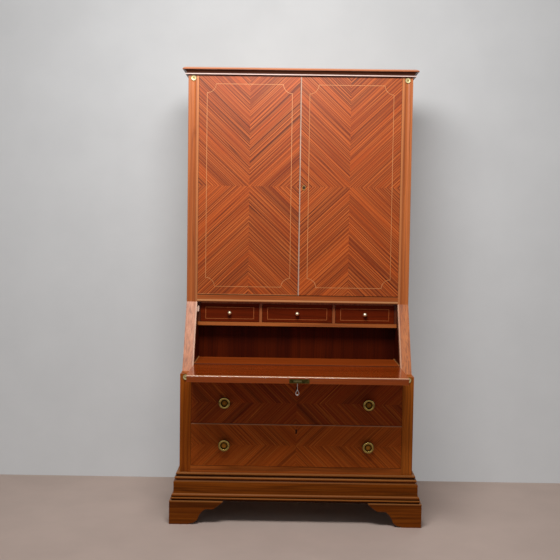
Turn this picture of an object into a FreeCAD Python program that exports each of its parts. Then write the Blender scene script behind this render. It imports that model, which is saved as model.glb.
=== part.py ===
import FreeCAD, Part
import math
import os

from FreeCAD import Vector

# Drop-front cabinet in millimetres: floor at z 0, front towards -Y,
# origin under the middle of the open cabinet

# Lower case
case_width = 1100.0
lower_depth = 510.0
side_thickness = 22.0
stile_width = 52.0
stile_depth = 24.0
back_thickness = 10.0
bottom_rail_height = 31.0
large_drawer_height = 200.0
front_gap = 2.0
case_top_thickness = 30.0
drawer_floor_thickness = 16.0

# Hollow flute down the lower and upper stiles
flute_width = 22.0
flute_depth = 2.5

# Fall and the slope that it closes on
fall_thickness = 30.0
fall_seat_gap = 0.3
fall_side_gap = 1.2
fall_top_gap = 1.5
fall_edge_round = 6.0
pivot_setback = 111.0
desk_height = 290.0
slope_stile_depth = 30.0
floor_gap = 1.0
pin_radius = 4.0
pin_length = 36.0
pin_clearance = 0.06
bush_radius = 7.0
bush_length = 20.0

# Desk interior
cheek_thickness = 12.0
niche_inset = 67.0
niche_height = 169.0
niche_back_thickness = 12.0
nest_inset = 37.0
shelf_thickness = 18.0
divider_thickness = 14.0
nest_end_thickness = 12.0
nest_top_thickness = 10.0
middle_drawer_width = 352.0
bead_size = 4.0
bead_start = 4.0
stop_height = 27.0
stop_width = 8.0
stop_drop = 22.0
stop_gap = 0.4

# Upper case
upper_depth = 250.0
upper_rail_height = 36.0
upper_rail_depth = 36.0
upper_rail_round = 9.0
edge_tolerance = 0.01
upper_board = 20.0
upper_opening_height = 1078.0
shelf_count = 2
upper_shelf_thickness = 18.0
upper_shelf_setback = 18.0
shelf_end_gap = 0.5
shelf_pin_radius = 3.0
shelf_pin_length = 24.0
shelf_pin_inset = 40.0

# Doors
door_thickness = 22.0
door_gap = 2.5
door_edge_gap = 1.2
bead_width = 6.0
meeting_shift = 3.5
bead_proud = 1.5
bead_depth = 15.0
hinge_inset = 26.0
hinge_setback = 7.0
hinge_leaf_thickness = 3.0
hinge_leaf_length = 40.0
hinge_ear_radius = 5.5
hinge_pin_radius = 2.5
string_inset = 38.0
string_width = 2.6
string_depth = 1.5
string_corner = 44.0
keyhole_from_edge = 17.0
keyhole_radius = 3.0
keyhole_slot = 9.0
keyhole_slot_width = 2.8
escutcheon_width = 19.0
escutcheon_height = 27.0
escutcheon_thickness = 1.2

# Rim lock on the right door and its strike
lock_edge_gap = 2.0
lock_width = 55.0
lock_height = 70.0
lock_depth = 12.0
lock_wall = 2.0
bolt_length = 30.0
bolt_height = 16.0
bolt_clearance = 0.3
bolt_throw = 18.0
strike_width = 25.0
strike_height = 30.0

# Mortise lock and key in the free edge of the fall
plate_width = 91.0
plate_height = 20.0
plate_thickness = 3.0
plate_shift = 8.0
plate_edge = 1.0
fall_lock_width = 72.0
fall_lock_depth = 46.0
fall_lock_height = 18.0
fall_lock_wall = 1.6
fall_bolt_width = 36.0
fall_bolt_thickness = 8.0
fall_bolt_length = 20.0
fall_bolt_throw = 14.0
mortise_clearance = 1.0
key_backset = 30.0
key_radius = 2.6
key_clearance = 0.08
key_drop = 30.0
key_collar_radius = 4.2
key_collar_height = 4.0
key_bow_width = 19.0
key_bow_height = 30.0
key_bow_wall = 5.5
key_bow_thickness = 4.0
key_bit_reach = 9.0
key_bit_height = 7.0
key_bit_thickness = 2.0
keyway_radius = 5.0

# Drawers
large_front_thickness = 22.0
box_side = 14.0
box_bottom_thickness = 8.0
box_lift = 8.0
box_height = 165.0
box_side_inset = 8.0
box_rear_gap = 35.0
slide_gap = 0.3
guide_gap = 0.7
guide_height = 40.0
small_drawer_gap = 1.5
small_front_thickness = 16.0
small_front_setback = 1.0
small_box_side = 8.0
small_box_bottom = 4.0
small_box_height = 70.0
small_box_rear_gap = 10.0

# Knobs and corner roundels
knob_spacing = 678.0
knob_rim_radius = 28.0
knob_rim_width = 6.0
knob_rim_height = 7.0
knob_dish_radius = 15.0
knob_dish = 4.5
knob_foot_radius = 17.0
knob_foot_height = 3.0
knob_neck_radius = 11.0
knob_neck_top = 12.0
knob_height = 26.0
turned_flat = 1.5
ball_radius = 10.0
ball_neck_radius = 4.0
ball_foot_radius = 7.0
ball_foot_height = 2.0
ball_reach = 25.0
roundel_radius = 13.5
roundel_height = 3.0
roundel_boss_radius = 4.0
roundel_boss_height = 2.0
roundel_rim = 1.0
roundel_margin = 1.5

# Feet and base mouldings, whose heights stack up from the floor
foot_height = 111.0
foot_out = 43.0
foot_thickness = 24.0
foot_reach = 251.0
foot_side_reach = 200.0
foot_back_width = 120.0
foot_edge = 4.0
# Cut-out of a bracket, as (in from its end, down from its top): corners, or arcs by a middle point and an end
foot_curve = ((25, 24, 44, 37), (82, 38), (105, 60, 117, 87), (132, 100, 157, 106), (158, foot_height))
base_inset = 25.0
recess_height = 8.0
recess_out = 33.0
low_bead_height = 7.0
low_bead_out = 38.0
low_quirk = 6.0
ovolo_height = 12.0
ovolo_out = 34.0
frieze_height = 54.0
frieze_out = 25.0
cove_height = 11.0
torus_height = 14.0
torus_out = 21.0
top_quirk = 6.0
top_quirk_out = 11.0
top_bead_height = 10.0
top_bead_out = 15.0

# Cornice
cornice_bead_height = 8.0
cornice_bead_out = 14.0
cornice_quirk_out = 8.0
cornice_cove_height = 16.0
cornice_fillet_height = 14.0
cornice_out = 26.5
cornice_lip = 3.0
cornice_round_depth = 24.0

# Places that follow from the sizes
half_width = case_width / 2
inner_half = half_width - side_thickness
opening_half = half_width - stile_width
base_heights = (recess_height, low_bead_height, low_quirk, ovolo_height, frieze_height,
                cove_height, torus_height, top_quirk, top_bead_height)
base_top = foot_height + sum(base_heights)
lower_drawer_z = base_top + bottom_rail_height + front_gap
upper_drawer_z = lower_drawer_z + large_drawer_height + front_gap
ledge_z = upper_drawer_z + large_drawer_height + front_gap + case_top_thickness
writing_z = ledge_z + fall_seat_gap + fall_thickness
pivot_z = writing_z - fall_thickness / 2
upper_z = writing_z + desk_height
rail_top = upper_z + upper_rail_height
cornice_z = rail_top + upper_opening_height
cornice_top = cornice_z + cornice_bead_height + cornice_cove_height + cornice_fillet_height
door_bottom = rail_top + door_gap
door_top = cornice_z - door_gap
door_middle = (door_bottom + door_top) / 2

# The slope leans back by this angle, so that the closed fall lies flush with it
reach_y = lower_depth - upper_depth - pivot_setback
reach_z = upper_z - pivot_z
reach = math.hypot(reach_y, reach_z)
slope = math.atan2(reach_y, reach_z) + math.asin(fall_thickness / 2 / reach)
fall_length = math.sqrt(reach ** 2 - (fall_thickness / 2) ** 2) - fall_top_gap
closing_turn = -90.0 - math.degrees(slope)

# Depths, centred between the back and the free edge of the open fall
back_face = (lower_depth - pivot_setback + fall_length) / 2
back_inside = back_face - back_thickness
lower_front = back_face - lower_depth
upper_front = back_face - upper_depth
pivot_y = lower_front + pivot_setback
fall_edge_y = pivot_y - fall_length
slope_foot_y = upper_front - math.tan(slope) * (upper_z - ledge_z)
slope_back = slope_stile_depth / math.cos(slope)
door_back = upper_front + door_thickness
shelf_z = writing_z + niche_height
nest_z = shelf_z + shelf_thickness
nest_front = upper_front + nest_inset
niche_back = nest_front + niche_inset


def closed_fall_inside(z):
    return pivot_y + fall_thickness / 2 / math.cos(slope) + math.tan(slope) * (z - pivot_z)


# Shape helpers
def board(x0, x1, y0, y1, z0, z1):
    return Part.makeBox(x1 - x0, y1 - y0, z1 - z0, Vector(x0, y0, z0))


def mirrored(shape):
    return shape.mirror(Vector(0, 0, 0), Vector(1, 0, 0))


def pair(shape):
    return [mirrored(shape), shape]


def polygon_face(points):
    return Part.Face(Part.makePolygon(points + points[:1]))


def side_profile(points, x0, x1):
    face = polygon_face([Vector(x0, y, z) for y, z in points])
    return face.extrude(Vector(x1 - x0, 0, 0))


def outline_face(steps, place):
    # A step is a corner (a, b), or an arc (via a, via b, end a, end b) from the step before
    edges = []
    last = place(*steps[0][-2:])
    for step in steps[1:] + steps[:1]:
        end = place(*step[-2:])
        if len(step) == 4:
            edges.append(Part.Arc(last, place(*step[:2]), end).toShape())
        else:
            edges.append(Part.LineSegment(last, end).toShape())
        last = end
    return Part.Face(Part.Wire(edges))


def turned(steps, x, y, z):
    # A round piece that stands out to the front; each step is (radius, height)
    face = outline_face(steps, lambda r, h: Vector(x + r, y - h, z))
    return face.revolve(Vector(x, y, z), Vector(0, 1, 0), 360)


def cylinder_y(radius, x, y0, y1, z):
    return Part.makeCylinder(radius, y1 - y0, Vector(x, y0, z), Vector(0, 1, 0))


def keep(name, *shapes):
    whole = shapes[0] if len(shapes) == 1 else Part.makeCompound(list(shapes))
    whole.exportStep(os.path.join("parts", name + ".step"))


# Mouldings with mitred corners
def mitred_mouldings(steps, inset, out, front):
    reach_out = half_width + out
    run = out + inset
    far = Vector(0, front - out, 0)
    front_face = outline_face(steps, lambda o, z: Vector(-reach_out, front - o, z))
    side_face = outline_face(steps, lambda o, z: Vector(half_width + o, far.y, z))
    z_span = front_face.BoundBox
    rise = Vector(0, 0, z_span.ZLength)
    low = z_span.ZMin

    def prism(corners):
        return polygon_face([Vector(x, y, low) for x, y in corners]).extrude(rise)

    front_room = prism([(-reach_out, front - out), (reach_out, front - out),
                        (reach_out - run, front + inset), (-reach_out + run, front + inset)])
    side_room = prism([(reach_out, front - out), (reach_out, back_face),
                       (half_width - inset, back_face), (half_width - inset, front + inset)])
    front_piece = front_face.extrude(Vector(2 * reach_out, 0, 0)).common(front_room).Solids[0]
    side_piece = side_face.extrude(Vector(0, back_face - far.y, 0)).common(side_room).Solids[0]
    return [front_piece] + pair(side_piece)


def make_base():
    z1 = foot_height + recess_height
    z2 = z1 + low_bead_height
    z3 = z2 + low_quirk
    z4 = z3 + ovolo_height
    z5 = z4 + frieze_height
    z6 = z5 + cove_height
    z7 = z6 + torus_height
    z8 = z7 + top_quirk
    torus_root = torus_out - torus_height / 2
    bead_root = top_bead_out - top_bead_height / 2
    low_root = low_bead_out - low_bead_height / 2
    ovolo_via = (frieze_out + (ovolo_out - frieze_out) * math.sin(math.pi / 4),
                 z4 - ovolo_height * (1 - math.cos(math.pi / 4)))
    cove_via = (torus_root + (frieze_out - torus_root) * (1 - math.cos(math.pi / 4)),
                z6 - cove_height * math.sin(math.pi / 4))
    steps = [
        (-base_inset, foot_height),
        (recess_out, foot_height),
        (recess_out, z1),
        (low_root, z1),
        (low_bead_out, (z1 + z2) / 2, low_root, z2),
        (recess_out, z2),
        (recess_out, z3),
        (ovolo_out, z3),
        ovolo_via + (frieze_out, z4),
        (frieze_out, z5),
        cove_via + (torus_root, z6),
        (torus_out, (z6 + z7) / 2, torus_root, z7),
        (top_quirk_out, z7),
        (top_quirk_out, z8),
        (bead_root, z8),
        (top_bead_out, (z8 + base_top) / 2, bead_root, base_top),
        (-base_inset, base_top),
    ]
    pieces = mitred_mouldings(steps, base_inset, low_bead_out, lower_front)
    rail_half = half_width - base_inset
    back_rail = board(-rail_half, rail_half, back_face - base_inset, back_face, foot_height, base_top)
    keep("base_mouldings", *pieces, back_rail)


# Bracket feet
def bracket_steps(width):
    # Distance from the outer corner, and height; the cut-out keeps its shape and moves with the width
    curve = [tuple(foot_height - value if place % 2 else width - value for place, value in enumerate(step))
             for step in foot_curve]
    return [(0, 0), (0, foot_height), (width, foot_height), (width, foot_height - foot_edge)] + curve


def make_feet():
    corner_x = half_width + foot_out
    corner_y = lower_front - foot_out
    front_face = outline_face(bracket_steps(foot_reach), lambda a, z: Vector(corner_x - a, corner_y, z))
    front_board = front_face.extrude(Vector(0, foot_thickness, 0))
    side_face = outline_face(bracket_steps(foot_side_reach), lambda a, z: Vector(corner_x, corner_y + a, z))
    side_board = side_face.extrude(Vector(-foot_thickness, 0, 0))
    keep("front_feet", *pair(front_board.fuse(side_board).removeSplitter().Solids[0]))
    rear_face = outline_face(bracket_steps(foot_side_reach), lambda a, z: Vector(corner_x, back_face - a, z))
    rear_side = rear_face.extrude(Vector(-foot_thickness, 0, 0))
    rear_back = board(corner_x - foot_back_width, corner_x, back_face - foot_thickness, back_face,
                      0, foot_height)
    keep("rear_feet", *pair(rear_side.fuse(rear_back).removeSplitter().Solids[0]))


# Lower case
def flute(x, y, z0, z1):
    radius = (flute_width ** 2 / 4 + flute_depth ** 2) / (2 * flute_depth)
    return Part.makeCylinder(radius, z1 - z0, Vector(x, y + flute_depth - radius, z0))


def make_lower_case():
    stile_x = half_width - stile_width / 2
    stile = board(opening_half, half_width, lower_front, lower_front + stile_depth, base_top, ledge_z)
    hollow = flute(stile_x, lower_front, base_top, ledge_z)
    keep("lower_stiles", *pair(stile.cut(hollow)))

    side_front = lower_front + stile_depth
    side = side_profile([(side_front, base_top), (back_face, base_top), (back_face, upper_z),
                         (upper_front + slope_back, upper_z), (slope_foot_y + slope_back, ledge_z),
                         (side_front, ledge_z)], inner_half, half_width)
    keep("case_sides", *pair(side))

    keep("bottom_rail", board(-opening_half, opening_half, lower_front, side_front,
                              base_top, base_top + bottom_rail_height))
    floors = []
    for front_z in (lower_drawer_z, upper_drawer_z):
        top = front_z + box_lift - slide_gap
        floor = board(-inner_half, inner_half, side_front, back_inside, top - drawer_floor_thickness, top)
        floors.append(floor)
    keep("drawer_floors", *floors)

    guide_inside = opening_half - box_side_inset + guide_gap
    guides = []
    for front_z in (lower_drawer_z, upper_drawer_z):
        top = front_z + box_lift - slide_gap
        guides += pair(board(guide_inside, inner_half, side_front, back_inside, top, top + guide_height))
    keep("drawer_guides", *guides)

    ledge_low = ledge_z - case_top_thickness
    case_top = board(-inner_half, inner_half, side_front, back_inside, ledge_low, ledge_z)
    ledge = board(-opening_half, opening_half, lower_front, side_front, ledge_low, ledge_z)
    keep("case_top", case_top.fuse(ledge).removeSplitter().Solids[0])
    keep("case_back", board(-inner_half, inner_half, back_inside, back_face, base_top, upper_z))


# Slope stiles with the bushes that carry the fall
def make_slope():
    back_top_y = upper_front + slope_back
    stile = side_profile([(slope_foot_y, ledge_z), (upper_front, upper_z), (back_top_y, upper_z),
                          (slope_foot_y + slope_back, ledge_z)], opening_half, half_width)
    seat = Vector(opening_half, pivot_y, pivot_z)
    along = Vector(1, 0, 0)
    bush_hole = Part.makeCylinder(bush_radius, bush_length, seat, along)
    keep("slope_stiles", *pair(stile.cut(bush_hole)))
    bore = Part.makeCylinder(pin_radius + pin_clearance, bush_length, seat, along)
    keep("fall_pivot_bushes", *pair(bush_hole.cut(bore)))


# Desk interior
def make_desk():
    nose_back = pivot_y + fall_thickness / 2 + floor_gap
    bevel_top = closed_fall_inside(writing_z) + floor_gap
    bevel_low_z = pivot_z + (nose_back - floor_gap - closed_fall_inside(pivot_z)) / math.tan(slope)
    floor = side_profile([(nose_back, ledge_z), (nose_back, bevel_low_z), (bevel_top, writing_z),
                          (back_inside, writing_z), (back_inside, ledge_z)], -opening_half, opening_half)
    keep("desk_floor", floor)

    cheek = side_profile([(slope_foot_y + slope_back, ledge_z), (back_inside, ledge_z),
                          (back_inside, upper_z), (upper_front + slope_back, upper_z)],
                         opening_half, opening_half + cheek_thickness)
    keep("desk_cheeks", *pair(cheek))
    keep("desk_back", board(-opening_half, opening_half, niche_back, niche_back + niche_back_thickness,
                            writing_z, shelf_z))
    bead = board(opening_half - bead_size, opening_half, bevel_top + bead_start, niche_back,
                 writing_z, writing_z + bead_size)
    keep("side_beads", *pair(bead))

    keep("drawer_shelf", board(-opening_half, opening_half, nest_front, back_inside, shelf_z, nest_z))
    nest_half = opening_half - nest_end_thickness
    middle_half = middle_drawer_width / 2
    nest_roof = upper_z - nest_top_thickness
    ends = pair(board(nest_half, opening_half, nest_front, back_inside, nest_z, nest_roof))
    dividers = pair(board(middle_half, middle_half + divider_thickness, nest_front, back_inside,
                          nest_z, nest_roof))
    roof = board(-opening_half, opening_half, nest_front, back_inside, nest_roof, upper_z)
    keep("drawer_nest", *ends, *dividers, roof)

    stop_top = upper_z - stop_drop
    stop_low = stop_top - stop_height
    low_y = closed_fall_inside(stop_low) + stop_gap
    top_y = closed_fall_inside(stop_top) + stop_gap
    stop = side_profile([(low_y, stop_low), (nest_front, stop_low), (nest_front, stop_top),
                         (top_y, stop_top)], opening_half - stop_width, opening_half)
    keep("fall_stop", mirrored(stop))


# Fall with its pivots, lock, bolt and key
def make_fall():
    half = fall_thickness / 2
    fall_half = opening_half - fall_side_gap
    low = pivot_z - half
    bend = fall_edge_round * (1 - math.cos(math.pi / 4))
    face = outline_face([(fall_edge_y, low), (pivot_y, low),
                         (pivot_y + half, pivot_z, pivot_y, writing_z),
                         (fall_edge_y + fall_edge_round, writing_z),
                         (fall_edge_y + bend, writing_z - bend, fall_edge_y, writing_z - fall_edge_round)],
                        lambda y, z: Vector(-fall_half, y, z))
    leaf = face.extrude(Vector(2 * fall_half, 0, 0))

    pin_start = opening_half + bush_length - pin_length
    pin = Part.makeCylinder(pin_radius, pin_length, Vector(pin_start, pivot_y, pivot_z), Vector(1, 0, 0))
    for piece in pair(pin):
        leaf = leaf.cut(piece)
    keep("fall_pivot_pins", *pair(pin))

    plate_z = low + plate_edge
    middle_z = plate_z + plate_height / 2
    plate = board(plate_shift - plate_width / 2, plate_shift + plate_width / 2, fall_edge_y,
                  fall_edge_y + plate_thickness, plate_z, plate_z + plate_height)
    body = board(-fall_lock_width / 2, fall_lock_width / 2, fall_edge_y, fall_edge_y + fall_lock_depth,
                 middle_z - fall_lock_height / 2, middle_z + fall_lock_height / 2)
    solid_lock = plate.fuse(body).removeSplitter()
    key_y = fall_edge_y + key_backset
    keyway = Part.makeCylinder(keyway_radius, middle_z - low, Vector(0, key_y, low))
    keyway_slot = board(0, key_bit_reach + mortise_clearance, key_y - keyhole_slot_width / 2,
                        key_y + keyhole_slot_width / 2, low, middle_z)
    keep("fall_board", leaf.cut(solid_lock).cut(keyway).cut(keyway_slot))

    inside_half = fall_lock_width / 2 - fall_lock_wall
    inside_z = fall_lock_height / 2 - fall_lock_wall
    room = board(-inside_half, inside_half, fall_edge_y + plate_thickness,
                 fall_edge_y + fall_lock_depth - fall_lock_wall, middle_z - inside_z, middle_z + inside_z)
    bolt_half = fall_bolt_width / 2
    bolt_rise = fall_bolt_thickness / 2
    slot = board(-bolt_half - bolt_clearance, bolt_half + bolt_clearance, fall_edge_y,
                 fall_edge_y + plate_thickness, middle_z - bolt_rise - bolt_clearance,
                 middle_z + bolt_rise + bolt_clearance)
    key_hole = Part.makeCylinder(key_radius + key_clearance, middle_z - low, Vector(0, key_y, low))
    keep("fall_lock", solid_lock.cut(room).cut(slot).cut(key_hole).cut(keyway_slot))
    keep("fall_lock_bolt", board(-bolt_half, bolt_half, fall_edge_y, fall_edge_y + fall_bolt_length,
                                 middle_z - bolt_rise, middle_z + bolt_rise))

    bow_top = low - key_drop
    bow_z = bow_top - key_bow_height / 2
    shank_top = middle_z + key_bit_height / 2
    shank = Part.makeCylinder(key_radius, shank_top - bow_top + key_bow_wall / 2,
                              Vector(0, key_y, bow_top - key_bow_wall / 2))
    collar = Part.makeCylinder(key_collar_radius, key_collar_height, Vector(0, key_y, bow_top))
    bit = board(0, key_bit_reach, key_y - key_bit_thickness / 2, key_y + key_bit_thickness / 2,
                shank_top - key_bit_height, shank_top)
    front = key_y - key_bow_thickness / 2
    ring = oval(0, front, bow_z, key_bow_width, key_bow_height, key_bow_thickness)
    eye = oval(0, front, bow_z, key_bow_width - 2 * key_bow_wall, key_bow_height - 2 * key_bow_wall,
               key_bow_thickness)
    bow = ring.cut(eye)
    keep("fall_key", bow.fuse([shank.cut(eye), collar, bit]).removeSplitter().Solids[0])

    mortise = board(-bolt_half - mortise_clearance, bolt_half + mortise_clearance,
                    fall_edge_y - fall_bolt_throw - mortise_clearance, fall_edge_y,
                    middle_z - bolt_rise - mortise_clearance, middle_z + bolt_rise + mortise_clearance)
    mortise.rotate(Vector(0, pivot_y, pivot_z), Vector(1, 0, 0), closing_turn)
    return mortise


def oval(x, y, z, width, height, thickness):
    # An upright oval plate whose front face is at y
    tall = height >= width
    long_half = max(width, height) / 2
    short_half = min(width, height) / 2
    ellipse = Part.Ellipse(Vector(0, 0, 0), long_half, short_half)
    plate = Part.Face(Part.Wire(ellipse.toShape())).extrude(Vector(0, 0, thickness))
    if tall:
        plate.rotate(Vector(0, 0, 0), Vector(0, 0, 1), 90)
    plate.rotate(Vector(0, 0, 0), Vector(1, 0, 0), -90)
    plate.translate(Vector(x, y, z))
    return plate


# Upper case
def hinge_axis(z):
    return Vector(opening_half - door_edge_gap - hinge_inset, upper_front + hinge_setback, z)


def hinge_leaf(z):
    # Plan of one knife hinge leaf on the right: a bar let into the wood, with a round ear about the pin
    axis = hinge_axis(z)
    bar = board(axis.x - hinge_leaf_length, axis.x, axis.y - hinge_ear_radius, axis.y + hinge_ear_radius,
                z, z + hinge_leaf_thickness)
    ear = Part.makeCylinder(hinge_ear_radius, hinge_leaf_thickness, axis)
    return bar.fuse(ear).removeSplitter().Solids[0]


def hinge_pin(z0, z1, radius):
    return Part.makeCylinder(radius, z1 - z0, hinge_axis(z0))


def make_upper_case(mortise):
    low_leaf = hinge_leaf(rail_top - hinge_leaf_thickness)
    high_leaf = hinge_leaf(cornice_z)
    low_pin = hinge_pin(rail_top - hinge_leaf_thickness, door_bottom + hinge_leaf_thickness, hinge_pin_radius)
    high_pin = hinge_pin(door_top - hinge_leaf_thickness, cornice_z + hinge_leaf_thickness, hinge_pin_radius)
    leaves = [low_leaf.fuse(low_pin).removeSplitter().Solids[0],
              high_leaf.fuse(high_pin).removeSplitter().Solids[0]]
    keep("case_hinge_leaves", *pair(leaves[0]), *pair(leaves[1]))

    side_front = upper_front + stile_depth
    stile_x = half_width - stile_width / 2
    stile = board(opening_half, half_width, upper_front, side_front, upper_z, cornice_z)
    hollow = flute(stile_x, upper_front, upper_z, cornice_z)
    keep("upper_stiles", *pair(stile.cut(hollow)))

    rail = board(-opening_half, opening_half, upper_front, upper_front + upper_rail_depth, upper_z, rail_top)
    corner = Vector(0, upper_front, upper_z)
    low_edges = [edge for edge in rail.Edges if edge.CenterOfMass.distanceToPoint(corner) < edge_tolerance]
    rail = rail.makeFillet(upper_rail_round, low_edges).cut(mortise)
    for leaf in pair(low_leaf):
        rail = rail.cut(leaf)
    keep("upper_rail", rail)
    keep("upper_bottom", board(-inner_half, inner_half, upper_front + upper_rail_depth, back_inside,
                               upper_z, upper_z + upper_board))
    keep("upper_back", board(-inner_half, inner_half, back_inside, back_face, upper_z, cornice_z))

    floor_z = upper_z + upper_board
    step = (cornice_z - floor_z) / (shelf_count + 1)
    shelf_front = door_back + upper_shelf_setback
    shelf_half = inner_half - shelf_end_gap
    side = board(inner_half, half_width, side_front, back_face, upper_z, cornice_z)
    shelves = []
    pins = []
    for number in range(1, shelf_count + 1):
        z = floor_z + number * step
        shelves.append(board(-shelf_half, shelf_half, shelf_front, back_inside, z, z + upper_shelf_thickness))
        for y in (shelf_front + shelf_pin_inset, back_inside - shelf_pin_inset):
            start = Vector(inner_half - shelf_pin_length / 2, y, z - shelf_pin_radius)
            pin = Part.makeCylinder(shelf_pin_radius, shelf_pin_length, start, Vector(1, 0, 0))
            side = side.cut(pin)
            pins += pair(pin)
    keep("upper_sides", *pair(side))
    keep("upper_shelves", *shelves)
    keep("shelf_pins", *pins)
    make_cornice(high_leaf)


def make_cornice(high_leaf):
    z1 = cornice_z + cornice_bead_height
    z2 = z1 + cornice_cove_height
    bead_root = cornice_bead_out - cornice_bead_height / 2
    cove_out = cornice_out - cornice_lip
    cove_via = (cornice_quirk_out + (cove_out - cornice_quirk_out) * (1 - math.cos(math.pi / 4)),
                z1 + cornice_cove_height * math.sin(math.pi / 4))
    round_z = z2 + cornice_lip
    round_height = cornice_top - round_z
    radius = (cornice_round_depth ** 2 + round_height ** 2) / (2 * round_height)
    turn = (math.atan2(radius - round_height, cornice_round_depth) + math.pi / 2) / 2
    round_via = (cornice_out - cornice_round_depth + radius * math.cos(turn),
                 cornice_top - radius + radius * math.sin(turn))
    steps = [
        (-base_inset, cornice_z),
        (bead_root, cornice_z),
        (cornice_bead_out, (cornice_z + z1) / 2, bead_root, z1),
        (cornice_quirk_out, z1),
        cove_via + (cove_out, z2),
        (cornice_out, z2),
        (cornice_out, round_z),
        round_via + (cornice_out - cornice_round_depth, cornice_top),
        (-base_inset, cornice_top),
    ]
    front, left, right = mitred_mouldings(steps, base_inset, cornice_out, upper_front)
    for leaf in pair(high_leaf):
        front = front.cut(leaf)
    keep("cornice", front, left, right)
    top_half = half_width - base_inset
    keep("upper_top", board(-top_half, top_half, upper_front + base_inset, back_face,
                            cornice_z, cornice_z + upper_board))


# Doors
def string_ring(x0, x1, y, z0, z1, inset, corner, width):
    # An inlaid line that runs round the panel, with corners scooped inwards
    def scooped(edge, radius):
        a, b, c, d = x0 + edge, x1 - edge, z0 + edge, z1 - edge
        ca, cb, cc, cd = x0 + inset, x1 - inset, z0 + inset, z1 - inset
        legs = math.sqrt(radius ** 2 - (edge - inset) ** 2)
        lean = radius * math.sin(math.pi / 4)
        steps = [
            (ca + lean, cc + lean, ca + legs, c), (cb - legs, c),
            (cb - lean, cc + lean, b, cc + legs), (b, cd - legs),
            (cb - lean, cd - lean, cb - legs, d), (ca + legs, d),
            (ca + lean, cd - lean, a, cd - legs), (a, cc + legs),
        ]
        return outline_face(steps, lambda x, z: Vector(x, y, z))

    ring = scooped(inset, corner).cut(scooped(inset + width, corner + width))
    return ring.extrude(Vector(0, string_depth, 0)).Solids[0]


def keyhole(x, y0, y1, z):
    round_part = cylinder_y(keyhole_radius, x, y0, y1, z)
    slot = board(x - keyhole_slot_width / 2, x + keyhole_slot_width / 2, y0, y1, z - keyhole_slot, z)
    return round_part.fuse(slot).removeSplitter().Solids[0]


def make_doors():
    outer = opening_half - door_edge_gap
    right_edge = meeting_shift + bead_width / 2
    left_edge = meeting_shift - bead_width / 2 - door_edge_gap
    low_leaf = hinge_leaf(door_bottom)
    high_leaf = hinge_leaf(door_top - hinge_leaf_thickness)
    running = hinge_pin(door_bottom, door_top, hinge_pin_radius + pin_clearance)
    leaves = [low_leaf.cut(running), high_leaf.cut(running)]
    keep("right_door_hinge_leaves", *leaves)
    keep("left_door_hinge_leaves", *[mirrored(leaf) for leaf in leaves])
    right = board(right_edge, outer, upper_front, door_back, door_bottom, door_top)
    left = board(-outer, left_edge, upper_front, door_back, door_bottom, door_top)
    for leaf in (low_leaf, high_leaf):
        right = right.cut(leaf)
        left = left.cut(mirrored(leaf))
    right_string = string_ring(right_edge, outer, upper_front, door_bottom, door_top,
                               string_inset, string_corner, string_width)
    left_string = string_ring(-outer, left_edge, upper_front, door_bottom, door_top,
                              string_inset, string_corner, string_width)
    key_x = right_edge + keyhole_from_edge
    hole = keyhole(key_x, upper_front - escutcheon_thickness, door_back + lock_depth / 2, door_middle)
    keep("left_door", left.cut(left_string))
    keep("left_door_stringing", left_string)
    keep("right_door", right.cut(right_string).cut(hole))
    keep("right_door_stringing", right_string)

    bead_left = meeting_shift - bead_width / 2
    bead_front = upper_front - bead_proud
    bead_face = outline_face([(bead_left, upper_front), (meeting_shift, bead_front, right_edge, upper_front),
                              (right_edge, upper_front + bead_depth), (bead_left, upper_front + bead_depth)],
                             lambda x, y: Vector(x, y, door_bottom))
    keep("meeting_bead", bead_face.extrude(Vector(0, 0, door_top - door_bottom)))
    make_door_lock(hole, right_edge, left_edge)


def make_door_lock(hole, right_edge, left_edge):
    lock_x = right_edge + lock_edge_gap
    lock_back = door_back + lock_depth
    body = board(lock_x, lock_x + lock_width, door_back, lock_back,
                 door_middle - lock_height / 2, door_middle + lock_height / 2)
    room = board(lock_x + lock_wall, lock_x + lock_width - lock_wall, door_back + lock_wall,
                 lock_back - lock_wall, door_middle - lock_height / 2 + lock_wall,
                 door_middle + lock_height / 2 - lock_wall)
    bolt_z0 = door_middle - bolt_height / 2
    bolt_z1 = door_middle + bolt_height / 2
    bolt_y0 = door_back + lock_wall + bolt_clearance
    bolt_y1 = lock_back - lock_wall - bolt_clearance
    bolt = board(lock_x, lock_x + bolt_length, bolt_y0, bolt_y1, bolt_z0, bolt_z1)
    slot = board(lock_x, lock_x + lock_wall, bolt_y0 - bolt_clearance, bolt_y1 + bolt_clearance,
                 bolt_z0 - bolt_clearance, bolt_z1 + bolt_clearance)
    key_x = right_edge + keyhole_from_edge
    rose = oval(key_x, upper_front - escutcheon_thickness, door_middle - keyhole_slot / 2,
                escutcheon_width, escutcheon_height, escutcheon_thickness)
    keep("door_lock", body.cut(room).cut(slot).cut(hole), rose.cut(hole))
    keep("door_lock_bolt", bolt)

    strike_edge = left_edge - lock_edge_gap
    strike = board(strike_edge - strike_width, strike_edge, door_back, lock_back,
                   door_middle - strike_height / 2, door_middle + strike_height / 2)
    pocket = board(lock_x - bolt_throw - mortise_clearance, strike_edge, bolt_y0 - mortise_clearance,
                   bolt_y1 + mortise_clearance, bolt_z0 - mortise_clearance, bolt_z1 + mortise_clearance)
    keep("door_strike", strike.cut(pocket))


# Drawers
def drawer_box(half_room, middle_x, y0, y1, z, height, wall, floor):
    left = board(middle_x - half_room, middle_x - half_room + wall, y0, y1, z, z + height)
    right = board(middle_x + half_room - wall, middle_x + half_room, y0, y1, z, z + height)
    inside = half_room - wall
    rear = board(middle_x - inside, middle_x + inside, y1 - wall, y1, z, z + height)
    bottom = board(middle_x - inside, middle_x + inside, y0, y1 - wall, z, z + floor)
    return [left, right, rear, bottom]


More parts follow.
